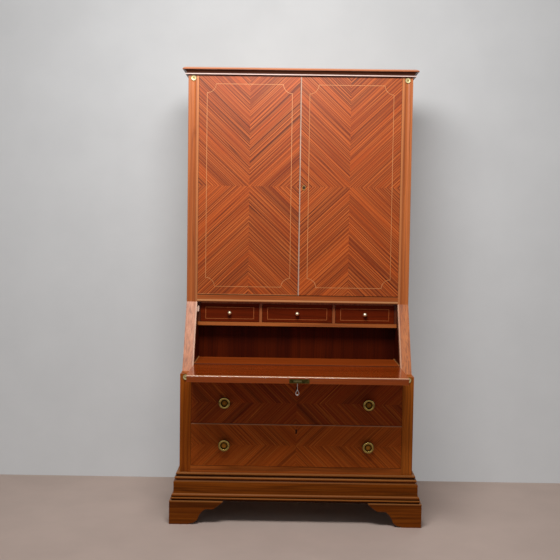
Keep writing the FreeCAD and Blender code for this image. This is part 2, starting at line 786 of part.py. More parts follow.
def dished_knob(x, y, z):
    rim = knob_rim_radius
    neck = knob_neck_radius
    face = knob_height - knob_dish
    crest = rim - knob_rim_width
    flare_z = knob_height - knob_rim_height
    return turned([
        (0, 0), (knob_foot_radius, 0), (knob_foot_radius, knob_foot_height), (neck, 2 * knob_foot_height),
        (neck, knob_neck_top), ((2 * neck + rim) / 3, (2 * flare_z + knob_neck_top) / 3, rim, flare_z),
        (rim - knob_rim_width / 5, knob_height - knob_rim_height / 4, crest, knob_height),
        ((crest + 2 * knob_dish_radius) / 3, (2 * knob_height + face) / 3, knob_dish_radius, face), (0, face),
    ], x, y, z)


def ball_knob(x, y, z):
    centre = ball_reach - ball_radius
    neck_top = centre - math.sqrt(ball_radius ** 2 - ball_neck_radius ** 2)
    return turned([
        (0, 0), (ball_foot_radius, 0), (ball_foot_radius, ball_foot_height),
        (ball_neck_radius, 2 * ball_foot_height), (ball_neck_radius, neck_top),
        (ball_radius, centre, 0, ball_reach),
    ], x, y, z)


def make_large_drawers():
    front_half = opening_half - fall_side_gap
    front_back = lower_front + large_front_thickness
    box_half = opening_half - box_side_inset
    for name, z in (("lower_drawer", lower_drawer_z), ("upper_drawer", upper_drawer_z)):
        top = z + large_drawer_height
        front = board(-front_half, front_half, lower_front, front_back, z, top)
        hole = keyhole(0, lower_front, front_back, top - escutcheon_height)
        keep(name + "_front", front.cut(hole))
        keep(name + "_box", *drawer_box(box_half, 0, front_back, back_inside - box_rear_gap, z + box_lift,
                                        box_height, box_side, box_bottom_thickness))
        knob = dished_knob(knob_spacing / 2, lower_front, z + large_drawer_height / 2)
        keep(name + "_knobs", *pair(knob))


def make_small_drawers():
    middle_half = middle_drawer_width / 2
    nest_half = opening_half - nest_end_thickness
    outer_inside = middle_half + divider_thickness
    outer_middle = (outer_inside + nest_half) / 2
    outer_half = (nest_half - outer_inside) / 2
    front_y = nest_front + small_front_setback
    front_back = front_y + small_front_thickness
    z0 = nest_z + small_drawer_gap
    z1 = upper_z - nest_top_thickness - small_drawer_gap
    places = (("left", -outer_middle, outer_half), ("middle", 0, middle_half),
              ("right", outer_middle, outer_half))
    for side, x, half in places:
        name = side + "_small_drawer"
        front_half = half - small_drawer_gap
        keep(name + "_front", board(x - front_half, x + front_half, front_y, front_back, z0, z1))
        keep(name + "_box", *drawer_box(half - 2 * small_drawer_gap, x, front_back,
                                        back_inside - small_box_rear_gap, nest_z + slide_gap,
                                        small_box_height, small_box_side, small_box_bottom))
        keep(name + "_knob", ball_knob(x, front_y, (z0 + z1) / 2))


# Brass roundels at the head of each stile
def make_roundels():
    x = half_width - stile_width / 2
    boss_top = roundel_height + roundel_boss_height
    steps = [(0, 0), (roundel_radius, 0), (roundel_radius, roundel_height - roundel_rim),
             (roundel_radius - roundel_rim, roundel_height),
             (roundel_boss_radius, roundel_height - roundel_rim),
             (roundel_boss_radius, roundel_height), (turned_flat, boss_top), (0, boss_top)]
    drop = roundel_radius + roundel_margin
    upper = turned(steps, x, upper_front, cornice_z - drop)
    lower = turned(steps, x, lower_front, ledge_z - drop)
    keep("corner_roundels", *pair(upper), *pair(lower))


os.makedirs("parts", exist_ok=True)
make_feet()
make_base()
make_lower_case()
make_slope()
make_desk()
make_upper_case(make_fall())
make_doors()
make_large_drawers()
make_small_drawers()
make_roundels()
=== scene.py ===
import bpy
import math
from mathutils import Matrix, Vector


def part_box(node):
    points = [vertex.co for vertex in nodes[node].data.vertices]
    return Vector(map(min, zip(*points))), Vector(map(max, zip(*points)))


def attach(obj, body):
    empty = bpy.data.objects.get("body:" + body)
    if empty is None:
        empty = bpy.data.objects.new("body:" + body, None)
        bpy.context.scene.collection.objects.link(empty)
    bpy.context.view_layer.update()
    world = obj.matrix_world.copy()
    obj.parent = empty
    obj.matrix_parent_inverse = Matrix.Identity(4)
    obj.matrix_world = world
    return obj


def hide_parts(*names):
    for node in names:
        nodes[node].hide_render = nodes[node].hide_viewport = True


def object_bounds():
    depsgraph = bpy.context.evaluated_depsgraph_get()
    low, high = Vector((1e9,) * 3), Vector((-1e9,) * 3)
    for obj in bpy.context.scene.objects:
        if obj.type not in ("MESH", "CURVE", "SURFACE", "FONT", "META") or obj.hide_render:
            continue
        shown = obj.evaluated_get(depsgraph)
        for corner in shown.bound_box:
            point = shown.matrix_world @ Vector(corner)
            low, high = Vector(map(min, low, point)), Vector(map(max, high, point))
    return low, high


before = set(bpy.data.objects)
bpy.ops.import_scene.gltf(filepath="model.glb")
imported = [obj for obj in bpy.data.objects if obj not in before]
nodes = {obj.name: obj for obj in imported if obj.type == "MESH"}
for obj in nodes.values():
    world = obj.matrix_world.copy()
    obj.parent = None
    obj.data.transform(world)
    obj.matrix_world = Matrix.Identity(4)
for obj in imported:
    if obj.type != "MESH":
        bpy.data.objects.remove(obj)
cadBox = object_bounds()
print("frame loaded:", len(nodes), "nodes")


# Node helpers for the materials
def tone(text):
    # A colour in hex, made linear
    parts = [int(text[i:i + 2], 16) / 255 for i in (0, 2, 4)]
    return [p / 12.92 if p <= 0.04045 else ((p + 0.055) / 1.055) ** 2.4 for p in parts] + [1.0]


def plug(tree, value, socket):
    if isinstance(value, bpy.types.NodeSocket):
        tree.links.new(value, socket)
    else:
        socket.default_value = value


def doMath(tree, operation, first, second=None):
    node = tree.nodes.new("ShaderNodeMath")
    node.operation = operation
    plug(tree, first, node.inputs[0])
    if second is not None:
        plug(tree, second, node.inputs[1])
    return node.outputs[0]


def plus(tree, first, second):
    return doMath(tree, "ADD", first, second)


def minus(tree, first, second):
    return doMath(tree, "SUBTRACT", first, second)


def times(tree, first, second):
    return doMath(tree, "MULTIPLY", first, second)


def unsigned(tree, value):
    return doMath(tree, "ABSOLUTE", value)


def combine(tree, x, y, z):
    node = tree.nodes.new("ShaderNodeCombineXYZ")
    for number, value in enumerate((x, y, z)):
        plug(tree, value, node.inputs[number])
    return node.outputs[0]


def noise(tree, vector, scale, detail=3.0, rough=0.55, distort=0.0):
    node = tree.nodes.new("ShaderNodeTexNoise")
    plug(tree, vector, node.inputs["Vector"])
    node.inputs["Scale"].default_value = scale
    node.inputs["Detail"].default_value = detail
    node.inputs["Roughness"].default_value = rough
    node.inputs["Distortion"].default_value = distort
    return node.outputs["Fac"]


def ramp(tree, factor, stops):
    node = tree.nodes.new("ShaderNodeValToRGB")
    plug(tree, factor, node.inputs["Fac"])
    band = node.color_ramp
    while len(band.elements) < len(stops):
        band.elements.new(0.5)
    for element, (spot, colour) in zip(band.elements, stops):
        element.position = spot
        element.color = colour
    return node.outputs["Color"]


def mixColour(tree, factor, first, second):
    node = tree.nodes.new("ShaderNodeMix")
    node.data_type = "RGBA"
    plug(tree, factor, node.inputs["Factor"])
    plug(tree, first, node.inputs["A"])
    plug(tree, second, node.inputs["B"])
    return node.outputs["Result"]


def mapRange(tree, value, low, high, outLow, outHigh):
    node = tree.nodes.new("ShaderNodeMapRange")
    plug(tree, value, node.inputs["Value"])
    for name, number in (("From Min", low), ("From Max", high), ("To Min", outLow), ("To Max", outHigh)):
        node.inputs[name].default_value = number
    return node.outputs["Result"]


noiseSpan = (0.3, 0.7)  # most of a noise lies between these


def spread(tree, value, outLow, outHigh):
    return mapRange(tree, value, *noiseSpan, outLow, outHigh)


def newMaterial(name):
    material = bpy.data.materials.new(name)
    material.use_nodes = True
    tree = material.node_tree
    return material, tree, tree.nodes["Principled BSDF"]


def objectPoint(tree):
    return tree.nodes.new("ShaderNodeTexCoord").outputs["Object"]


def objectSpot(tree):
    # The same point as x, y and z
    split = tree.nodes.new("ShaderNodeSeparateXYZ")
    tree.links.new(objectPoint(tree), split.inputs[0])
    return split.outputs


def bumpTo(tree, shader, height, strength, distance):
    node = tree.nodes.new("ShaderNodeBump")
    node.inputs["Strength"].default_value = strength
    node.inputs["Distance"].default_value = distance
    tree.links.new(height, node.inputs["Height"])
    tree.links.new(node.outputs["Normal"], shader.inputs["Normal"])


def seenRays(tree):
    # 1 where the camera, gloss or glass looks at the background, 0 where it would light the cabinet
    rays = tree.nodes.new("ShaderNodeLightPath").outputs
    return doMath(tree, "MAXIMUM", rays["Is Camera Ray"],
                  doMath(tree, "MAXIMUM", rays["Is Glossy Ray"], rays["Is Transmission Ray"]))


# Directions of the figure: each gives (across the grain, along it, seed) as sockets
grainAxes = {"X": (1, 2, 0), "Y": (0, 2, 1), "Z": (0, 1, 2)}
grainSeed = 0.31


def straightGrain(axis, lean=0.73):
    def figure(tree):
        at = objectSpot(tree)
        first, second, along = [at[number] for number in grainAxes[axis]]
        return plus(tree, first, times(tree, second, lean)), along, times(tree, second, grainSeed)
    return figure


leafShift = {"x": 0.025, "z": 0.015}  # keeps the mirrored leaves from being quite alike


def bookMatched(centreX, centreZ, slant, upright, seed):
    # Four mirrored quarters about a centre: V shapes if upright, otherwise arrow heads pointing to the middle
    def figure(tree):
        at = objectSpot(tree)
        fromX = minus(tree, at[0], centreX)
        fromZ = minus(tree, at[2], centreZ)
        x, z = unsigned(tree, fromX), unsigned(tree, fromZ)
        leaf = plus(tree, times(tree, doMath(tree, "SIGN", fromX), leafShift["x"]),
                    times(tree, doMath(tree, "SIGN", fromZ), leafShift["z"]))
        first, second = (z, x) if upright else (x, z)
        across = minus(tree, first, times(tree, second, slant))
        along = plus(tree, second, times(tree, first, slant))
        return across, along, plus(tree, leaf, seed)
    return figure


# Narrow dark lines up the back, half a board from the modelled grooves, and a tint for each strip between them
jointLook = {"boardsLeft": 40.5, "tintStep": 7.31, "tint": 0.35, "line": 0.0008, "fade": 0.0030,
             "depth": 0.85}


def boardJoints(tree, width, colour, gap):
    shifted = plus(tree, objectSpot(tree)[0], width * jointLook["boardsLeft"])
    near = doMath(tree, "PINGPONG", shifted, width / 2)
    board = doMath(tree, "FLOOR", doMath(tree, "DIVIDE", shifted, width))
    tint = noise(tree, combine(tree, times(tree, board, jointLook["tintStep"]), 0.0, 0.0), 1.0, detail=0.0)
    colour = mixColour(tree, spread(tree, tint, 0.0, jointLook["tint"]), colour, gap)
    line = mapRange(tree, near, jointLook["line"], jointLook["fade"], jointLook["depth"], 0.0)
    return mixColour(tree, line, colour, gap)


def bandsFrom(axis, start, *stops):
    # Stops are (step from the start, colour, share)
    return {"axis": axis, "stops": [(start + step, hue, share) for step, hue, share in stops]}


def bandColour(tree, bands, colour):
    # Painted highlights and painted shade: lighter and darker bands by height, by depth or by distance from
    # the middle
    at = objectSpot(tree)
    where = {"X": unsigned(tree, at[0]), "Y": at[1], "Z": at[2]}[bands["axis"]]
    low, high = bands["stops"][0][0], bands["stops"][-1][0]
    run = mapRange(tree, where, low, high, 0.0, 1.0)
    spots = [((spot - low) / (high - low), hue, share) for spot, hue, share in bands["stops"]]
    hues = ramp(tree, run, [(spot, tone(hue)) for spot, hue, share in spots])
    shares = ramp(tree, run, [(spot, [share, share, share, 1.0]) for spot, hue, share in spots])
    return mixColour(tree, shares, colour, hues)


# What all woods share; pairs are the values of a noise or a wave between which a colour comes in
woodLook = {
    "swayAcross": 3.0, "swayScale": 2.2, "tones": (0.36, 0.62), "layerRough": 0.6,
    "lineStretch": 1 / 3, "lineSeed": 7.9, "darkLines": (0.50, 0.66), "brightLines": (0.46, 0.34),
    "poresPerLine": 3.5, "poreSeed": 13.7, "pores": (0.52, 0.72), "poreMix": 0.30, "poreDepth": 0.0003,
    "ribbonWander": 9.0, "ribbonDark": (0.1, 1.0), "ribbonBright": (-0.1, -1.0), "fading": (0.38, 0.62),
    "roughLess": 0.04, "roughMore": 0.06, "coatRough": 0.25,
}


def makeWood(settings):
    material, tree, shader = newMaterial(settings["name"])
    across, along, seed = settings["figure"](tree)
    swaySpot = combine(tree, times(tree, across, woodLook["swayAcross"]), along, seed)
    sway = noise(tree, swaySpot, woodLook["swayScale"], detail=2.0)
    bent = plus(tree, across, spread(tree, sway, -settings["sway"], settings["sway"]))
    stretch = settings["stretch"]
    lineStretch = stretch * woodLook["lineStretch"]

    def layer(perMetre, stretched, detail, offset):
        vector = combine(tree, bent, times(tree, along, stretched), plus(tree, seed, offset))
        return noise(tree, vector, perMetre, detail, woodLook["layerRough"])

    def thinLines(perMetre, offset, width, share):
        # A line wherever the noise passes its middle value
        away = unsigned(tree, minus(tree, layer(perMetre, stretch, 1.0, offset), 0.5))
        return mapRange(tree, away, 0.0, width, share, 0.0)

    def ribbonWave(perMetre, offset):
        # Even ribbon stripes whose width wanders a little and which fade out in places
        patches = settings["patches"]
        wander = times(tree, layer(perMetre / 3, stretch, 1.0, offset), woodLook["ribbonWander"])
        wave = doMath(tree, "SINE", plus(tree, times(tree, bent, perMetre * math.tau), wander))
        patch = layer(patches["perMetre"], patches["stretch"], 2.0, offset * 3)
        return times(tree, wave, mapRange(tree, patch, *woodLook["fading"], patches["faint"], 1.0))

    def overlay(under, value, limits, share, hue):
        return mixColour(tree, mapRange(tree, value, *limits, 0.0, share), under, tone(settings[hue]))

    broad = layer(settings["broad"], stretch, 3.0, 0.0)
    lines = layer(settings["line"], lineStretch, 2.0, woodLook["lineSeed"])
    pores = layer(settings["line"] * woodLook["poresPerLine"], lineStretch, 2.0, woodLook["poreSeed"])
    colour = ramp(tree, broad, list(zip(woodLook["tones"], (tone(settings["mid"]), tone(settings["light"])))))
    colour = overlay(colour, lines, woodLook["darkLines"], settings["lineMix"], "dark")
    colour = overlay(colour, lines, woodLook["brightLines"], settings["glint"], "bright")
    for perMetre, offset, share in settings.get("ribbons", ()):
        wave = ribbonWave(perMetre, offset)
        colour = overlay(colour, wave, woodLook["ribbonDark"], share, "dark")
        colour = overlay(colour, wave, woodLook["ribbonBright"], share, "bright")
    for kind, hue in (("veins", "dark"), ("gleams", "bright")):
        for perMetre, offset, width, share in settings.get(kind, ()):
            colour = mixColour(tree, thinLines(perMetre, offset, width, share), colour, tone(settings[hue]))
    colour = overlay(colour, pores, woodLook["pores"], woodLook["poreMix"], "pore")
    if settings.get("boards"):
        colour = boardJoints(tree, settings["boards"], colour, tone(settings["pore"]))
    if settings.get("bands"):
        colour = bandColour(tree, settings["bands"], colour)
    tree.links.new(colour, shader.inputs["Base Color"])
    rough = spread(tree, lines, settings["rough"] - woodLook["roughLess"],
                   settings["rough"] + woodLook["roughMore"])
    tree.links.new(rough, shader.inputs["Roughness"])
    shader.inputs["Specular IOR Level"].default_value = settings["gloss"]
    shader.inputs["Coat Weight"].default_value = settings["coat"]
    shader.inputs["Coat Roughness"].default_value = settings.get("coatRough", woodLook["coatRough"])
    bumpTo(tree, shader, pores, settings["bump"], woodLook["poreDepth"])
    return material


# What all metals share
metalLook = {"tones": (0.36, 0.62), "roughMore": 0.10, "finer": 9.0, "bump": 0.03, "bumpDepth": 0.0002}


def makeMetal(name, settings):
    material, tree, shader = newMaterial(name)
    point = objectPoint(tree)
    stain = noise(tree, point, settings["stain"], detail=5.0, rough=0.6, distort=0.4)
    hues = (tone(settings["dark"]), tone(settings["light"]))
    tree.links.new(ramp(tree, stain, list(zip(metalLook["tones"], hues))), shader.inputs["Base Color"])
    rough = spread(tree, stain, settings["rough"] + metalLook["roughMore"], settings["rough"])
    tree.links.new(rough, shader.inputs["Roughness"])
    shader.inputs["Metallic"].default_value = 1.0
    scratches = noise(tree, point, settings["stain"] * metalLook["finer"])
    bumpTo(tree, shader, scratches, metalLook["bump"], metalLook["bumpDepth"])
    return material


def middle(node):
    low, high = map(Vector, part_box(node))
    return (low + high) / 2


# Woods; veins and gleams are (per metre, seed, width, share), ribbons (per metre, seed, share)
redWood = {
    "light": "C66E34", "mid": "A85424", "dark": "56230F", "pore": "401909", "bright": "DC8A4C",
    "sway": 0.004, "stretch": 0.03, "broad": 14.0, "line": 150.0, "lineMix": 0.40, "glint": 0.25,
    "veins": ((22.0, 5.3, 0.02, 0.30),), "rough": 0.36, "gloss": 0.32, "coat": 0.04, "bump": 0.20,
}
darkWood = {
    **redWood, "light": "924A0E", "mid": "743706", "dark": "321402", "pore": "220C01", "bright": "AA641C",
    "veins": ((18.0, 5.3, 0.03, 0.45),), "gloss": 0.07, "coat": 0.0,
}
veneer = {
    "light": "C05216", "mid": "8A3408", "dark": "3A1003", "pore": "381003", "bright": "DC7A38",
    "sway": 0.0012, "stretch": 0.006, "broad": 16.0, "line": 170.0, "lineMix": 0.60, "glint": 0.40,
    "ribbons": ((82.0, 3.3, 0.50), (47.0, 6.1, 0.34)),
    "patches": {"perMetre": 13.0, "stretch": 0.20, "faint": 0.25},
    "veins": ((15.0, 5.3, 0.006, 0.80), (40.0, 2.1, 0.010, 0.60)),
    "rough": 0.42, "gloss": 0.28, "coat": 0.04, "bump": 0.18,
}
darkVeneer = {
    **veneer, "light": "B85616", "mid": "9C440C", "dark": "3E1402", "pore": "321002", "bright": "D0782E",
    "line": 150.0, "lineMix": 0.40, "glint": 0.30, "ribbons": ((82.0, 3.3, 0.16), (47.0, 6.1, 0.10)),
    "veins": ((9.0, 5.3, 0.008, 0.45), (30.0, 2.1, 0.018, 0.35)),
    "gleams": ((34.0, 8.7, 0.010, 0.55), (60.0, 4.2, 0.012, 0.40)), "gloss": 0.10, "coat": 0.0,
}
innerWood = {
    "light": "501803", "mid": "3C0E02", "dark": "1C0500", "pore": "140300", "bright": "68240A",
    "sway": 0.004, "stretch": 0.03, "broad": 12.0, "line": 150.0, "lineMix": 0.25, "glint": 0.15,
    "veins": ((22.0, 5.3, 0.02, 0.30),), "rough": 0.45, "gloss": 0.06, "coat": 0.0, "bump": 0.18,
}
plainWood = {
    "light": "C6A274", "mid": "AD8657", "dark": "80592F", "pore": "6E4A26", "bright": "D8BA90",
    "sway": 0.006, "stretch": 0.04, "broad": 9.0, "line": 110.0, "lineMix": 0.40, "glint": 0.20,
    "veins": ((16.0, 5.3, 0.03, 0.35),), "rough": 0.6, "gloss": 0.3, "coat": 0.0, "bump": 0.35,
}
paleWood = {
    "light": "D48C56", "mid": "C47C46", "dark": "98582E", "pore": "84502C", "bright": "EAB084",
    "sway": 0.002, "stretch": 0.03, "broad": 20.0, "line": 180.0, "lineMix": 0.30, "glint": 0.20,
    "veins": ((40.0, 5.3, 0.02, 0.20),), "rough": 0.45, "gloss": 0.3, "coat": 0.03, "bump": 0.12,
}


def wood(name, base, figure, **changes):
    return makeWood({**base, **changes, "name": name, "figure": figure})


# Stiles and sides
# Painted highlights and painted shade across the upper stiles: pale lines near both edges and dark lines
# beside them, for light falling on the flutes
stileShadingBands = bandsFrom(
    "X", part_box("upper_stiles")[1][0],
    (-0.053, "D88C54", 0.55), (-0.044, "D88C54", 0.45), (-0.039, "6E2C10", 0.55), (-0.034, "A85424", 0.0),
    (-0.012, "A85424", 0.0), (-0.005, "D4844A", 0.35), (0.001, "6E2C10", 0.50))
# Painted highlight: a pale line along the inner edge of each slope stile, with faint painted shade lines
# beside it and at the outer edge
slopeHighlightBands = bandsFrom(
    "X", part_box("slope_stiles")[1][0],
    (-0.052, "ECC4A4", 0.50), (-0.048, "ECC4A4", 0.40), (-0.045, "8E4A26", 0.30), (-0.040, "A85424", 0.0),
    (-0.010, "A85424", 0.0), (0.0, "8E4A26", 0.25))
uprightRed = wood("stile mahogany", redWood, straightGrain("Z"), bands=stileShadingBands)
sideRed = wood("side mahogany", redWood, straightGrain("Z"))
slopeRed = wood("slope mahogany", redWood, straightGrain("Z", 0.0), light="CC783C", mid="B4622A",
                lineMix=0.45, glint=0.40, veins=((34.0, 3.1, 0.02, 0.25),), gloss=0.38, bands=slopeHighlightBands)
uprightDark = wood("dark mahogany upright", darkWood, straightGrain("Z"), light="BE6822", mid="9C4C12",
                   lineMix=0.30)

# Rails, cornice, base and feet
# Painted highlight along the rounded lower edge of the upper rail, with painted shade in dark lines at its
# foot and along its top
railShadingBands = bandsFrom(
    "Z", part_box("upper_rail")[0][2],
    (0.0, "7A3414", 0.60), (0.002, "F0B478", 0.75), (0.011, "F0B078", 0.65), (0.014, "8A3E16", 0.45),
    (0.018, "9A4818", 0.25), (0.030, "9A4818", 0.25), (0.033, "7A3414", 0.40), (0.036, "4A1A08", 0.70))
# Painted light on the cornice: a pale highlight on the bead, painted shade in the cove above it and the quirk
# below, and a pale highlight along the top edge
corniceShadingBands = bandsFrom(
    "Z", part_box("cornice")[0][2],
    (0.0, "3A160A", 0.85), (0.001, "3A160A", 0.80), (0.0025, "F4E0D8", 0.80), (0.0048, "F4E0D8", 0.80),
    (0.007, "2A0E06", 0.92), (0.023, "3A160A", 0.88), (0.026, "8A4424", 0.50), (0.030, "B87450", 0.50),
    (0.033, "D8B09C", 0.65), (0.0365, "D8B09C", 0.65), (0.0376, "A85424", 0.10), (0.038, "A85424", 0.10))
# Painted highlights on the lips of the base mouldings, and painted shade in the recess, the quirks and the
# cove
baseShadingBands = bandsFrom(
    "Z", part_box("base_mouldings")[0][2],
    (0.0, "1E0A02", 0.85), (0.0078, "1E0A02", 0.85), (0.0095, "A86428", 0.35), (0.0145, "B87838", 0.45),
    (0.0160, "1A0802", 0.80), (0.0205, "1A0802", 0.80), (0.0220, "743706", 0.0), (0.0315, "C08048", 0.50),
    (0.0355, "743706", 0.0), (0.0855, "743706", 0.0), (0.0880, "C08048", 0.40), (0.0920, "2E1204", 0.45),
    (0.0978, "2E1204", 0.60), (0.1010, "A85A22", 0.25), (0.1080, "E09A58", 0.50), (0.1114, "1A0802", 0.80),
    (0.1178, "1A0802", 0.80), (0.1200, "B06C34", 0.30), (0.1280, "C88A50", 0.50))
footLow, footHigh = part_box("front_feet")
footHeight = footHigh[2] - footLow[2]
# Painted highlight along the top edge of the feet; the feet also darken towards the floor
footShadingBands = bandsFrom(
    "Z", footLow[2],
    (0.0, "321402", 0.35), (0.006, "743706", 0.0), (footHeight - 0.006, "743706", 0.0),
    (footHeight - 0.003, "C08048", 0.45), (footHeight, "C08048", 0.55))
levelRed = wood("rail mahogany", redWood, straightGrain("X"), light="BC6228", mid="9C4A18", bands=railShadingBands)
levelDark = wood("dark mahogany level", darkWood, straightGrain("X"), light="C0662A", mid="A25018",
                 lineMix=0.30)
corniceRed = wood("cornice mahogany", redWood, straightGrain("X"), bands=corniceShadingBands)
baseWood = wood("base mahogany", darkWood, straightGrain("X"), bands=baseShadingBands)
footWood = wood("foot mahogany", darkWood, straightGrain("X"), light="82400C", mid="683006", bands=footShadingBands)

# Fall, doors and drawers
# Painted highlight: a pale band along the rounded front edge of the open fall
fallHighlightBands = bandsFrom(
    "Y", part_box("fall_board")[0][1],
    (0.0, "8A4216", 0.50), (0.0004, "8A4216", 0.50), (0.002, "F0C8A0", 0.75), (0.007, "E8B88C", 0.70),
    (0.009, "9C4816", 0.0))
# Painted highlight: a pale band along the top edge of the lower drawer front
drawerHighlightBands = bandsFrom(
    "Z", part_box("lower_drawer_front")[1][2],
    (-0.012, "A44C12", 0.0), (-0.004, "C87A3C", 0.25), (-0.003, "C09478", 0.60), (0.0, "C09478", 0.65))
fallWood = wood("fall mahogany", redWood, straightGrain("X"), light="A8460F", mid="903708", dark="561C04",
                lineMix=0.25, glint=0.15, gloss=0.5, rough=0.15, coat=0.35, coatRough=0.12, bump=0.02,
                bands=fallHighlightBands)
matching = {"aside": 0.003, "doorSlant": 0.95, "drawerSlant": 1.0}
leftDoor, rightDoor = middle("left_door"), middle("right_door")
leftVeneer = wood("left door veneer", veneer, bookMatched(
    leftDoor.x + matching["aside"], leftDoor.z, matching["doorSlant"], upright=True, seed=1.7))
rightVeneer = wood("right door veneer", veneer, bookMatched(
    rightDoor.x - matching["aside"], rightDoor.z, matching["doorSlant"], upright=True, seed=4.4))
# Painted shade: the upper drawer's veneer is a darker copy of the lower drawer's, standing in for the shadow
# the open fall casts on it
shadedUpperVeneer = wood("shaded upper drawer veneer", darkVeneer, bookMatched(
    0.0, middle("upper_drawer_front").z, matching["drawerSlant"], upright=False, seed=2.6),
    light="9A3E0E", mid="7A2A07")
lowerVeneer = wood("lower drawer veneer", darkVeneer, bookMatched(
    0.0, middle("lower_drawer_front").z, matching["drawerSlant"], upright=False, seed=0.6), bands=drawerHighlightBands)
smallVeneer = wood("small drawer veneer", innerWood, straightGrain("X"), light="822E0A", mid="661F05")

# Inside of the desk
# Painted shade: a dark strip along the front edge of the desk floor, at its joint with the fall
floorShadeBands = bandsFrom(
    "Y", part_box("desk_floor")[0][1],
    (0.0, "3A1404", 0.85), (0.0102, "3A1404", 0.85), (0.0108, "86360B", 0.0))
# Painted shade: the outer ends of the drawer nest, beside the desk's sides, made dark
nestShadeBands = bandsFrom(
    "X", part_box("drawer_nest")[1][0],
    (-0.020, "4A1606", 0.0), (-0.017, "4A1606", 0.85), (0.0, "4A1606", 0.85))
floorWood = wood("desk floor", innerWood, straightGrain("X"), light="A04818", mid="86360B", dark="4E1B05",
                 bright="C0622A", rough=0.42, gloss=0.04, bands=floorShadeBands)
beadWood = wood("side bead", redWood, straightGrain("Y"), light="D09058", mid="B87842")
innerUpright = wood("interior upright", innerWood, straightGrain("Z"))
shelfWood = wood("nest shelf", redWood, straightGrain("X"), light="BC6A30", mid="A2541E")
nestWood = wood("nest dividers", redWood, straightGrain("Z"), light="B4683A", mid="9A5224", bands=nestShadeBands)

# Plain boards and pale lines
boardWidth = 0.132
plainLevel = wood("secondary level", plainWood, straightGrain("X"))
plainUpright = wood("secondary upright", plainWood, straightGrain("Z"), boards=boardWidth)
plainDeep = wood("secondary front to back", plainWood, straightGrain("Y"))
paleLine = wood("stringing", paleWood, straightGrain("Z"))
darkLine = wood("small drawer line", paleWood, straightGrain("X"), light="BC6A36", mid="A6581F",
                bright="CC8048")
# Painted highlight: the meeting bead is coloured pale pink, standing in for the light it catches; the fall
# stop is given the same colour
paleBead = wood("meeting bead", paleWood, straightGrain("Z"), light="D8B49E", mid="C6A08A", dark="8A6A54",
                bright="E6CCBC")

# Metals
agedBrass = makeMetal("aged brass", {"dark": "8A6A30", "light": "CCA458", "stain": 70.0, "rough": 0.20})
dullBrass = makeMetal("dull brass", {"dark": "332C12", "light": "5C4E26", "stain": 90.0, "rough": 0.45})
boltBrass = makeMetal("bolt brass", {"dark": "5A5030", "light": "8A7C50", "stain": 90.0, "rough": 0.38})
brightBrass = makeMetal("bright brass", {"dark": "D0BA8C", "light": "F4E8CC", "stain": 80.0, "rough": 0.42})
darkIron = makeMetal("dark iron", {"dark": "0C0A08", "light": "221E1A", "stain": 90.0, "rough": 0.55})
wornSteel = makeMetal("worn steel", {"dark": "A8A29C", "light": "E4DED8", "stain": 120.0, "rough": 0.32})


# Brass in rings of colour by distance from the nearest of four middles, two heights on each side; the rings
# hold painted shade, and on the knobs a painted reflection
ringGrime = {"limits": (0.5, 0.7), "share": 0.30, "roughMore": 0.12}


def ringedBrass(settings):
    material, tree, shader = newMaterial(settings["name"])
    at = objectSpot(tree)
    x = minus(tree, unsigned(tree, at[0]), settings["x"])
    upper = unsigned(tree, minus(tree, at[2], settings["upper"]))
    lower = unsigned(tree, minus(tree, at[2], settings["lower"]))
    z = doMath(tree, "MINIMUM", upper, lower)
    away = doMath(tree, "SQRT", plus(tree, times(tree, x, x), times(tree, z, z)))
    run = mapRange(tree, away, 0.0, settings["radius"], 0.0, 1.0)
    rings = ramp(tree, run, [(spot, tone(hue)) for spot, hue in settings["rings"]])
    grime = noise(tree, objectPoint(tree), settings["grime"])
    dirty = mapRange(tree, grime, *ringGrime["limits"], 0.0, ringGrime["share"])
    tree.links.new(mixColour(tree, dirty, rings, tone(settings["dirt"])), shader.inputs["Base Color"])
    rough = spread(tree, grime, settings["rough"], settings["rough"] + ringGrime["roughMore"])
    tree.links.new(rough, shader.inputs["Roughness"])
    shader.inputs["Metallic"].default_value = settings["metal"]
    return material


def ringMiddles(upperNode, lowerNode, radius):
    upper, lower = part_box(upperNode)[1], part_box(lowerNode)[0]
    return {"x": upper[0] - radius, "upper": upper[2] - radius, "lower": lower[2] + radius, "radius": radius}


def lockMiddle(fromEdge, drop, radius):
    z = middle("door_lock").z - drop
    return {"x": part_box("right_door")[0][0] + fromEdge, "upper": z, "lower": z, "radius": radius}


# Roundels: a pale cream ring round an olive middle, with a thin dark ring round the boss that is painted
# shade; the rim darkens towards its edge
roundelBrass = ringedBrass({
    "name": "roundel", "grime": 260.0, "dirt": "6A5830", "rough": 0.30, "metal": 0.35,
    "rings": ((0.0, "B0A468"), (0.26, "A4965C"), (0.33, "7A6E3C"), (0.40, "CCBA80"), (0.80, "D4C48E"),
              (0.90, "9A8650"), (1.0, "5A4A24")),
    **ringMiddles("corner_roundels", "corner_roundels", radius=0.0135)})
# Painted reflection and shade on the large knobs: the golden dish in the middle stands for the reflected wood
# and its lit floor, and the dark ring round it is painted shade on the dish's inner wall; the rim darkens at
# its outer edge
knobBrass = ringedBrass({
    "name": "knob brass", "grime": 180.0, "dirt": "4A3C1A", "rough": 0.06, "metal": 1.0,
    "rings": ((0.0, "B07A30"), (0.34, "8E6022"), (0.46, "302509"), (0.58, "403212"), (0.66, "A68A48"),
              (0.86, "B49A58"), (0.95, "5E4C20"), (1.0, "3C3012")),
    **ringMiddles("upper_drawer_knobs", "lower_drawer_knobs", radius=0.0282)})
# Painted shade: a near-black disc in the middle of the lock's brass ring, for the dark inside of the keyhole
lockBrass = ringedBrass({
    "name": "lock brass", "grime": 200.0, "dirt": "5A4424", "rough": 0.35, "metal": 1.0,
    "rings": ((0.0, "140804"), (0.38, "1E0E06"), (0.52, "8E6436"), (0.80, "A87C4A"), (1.0, "8A6A38")),
    **lockMiddle(fromEdge=0.017, drop=0.0045, radius=0.0135)})

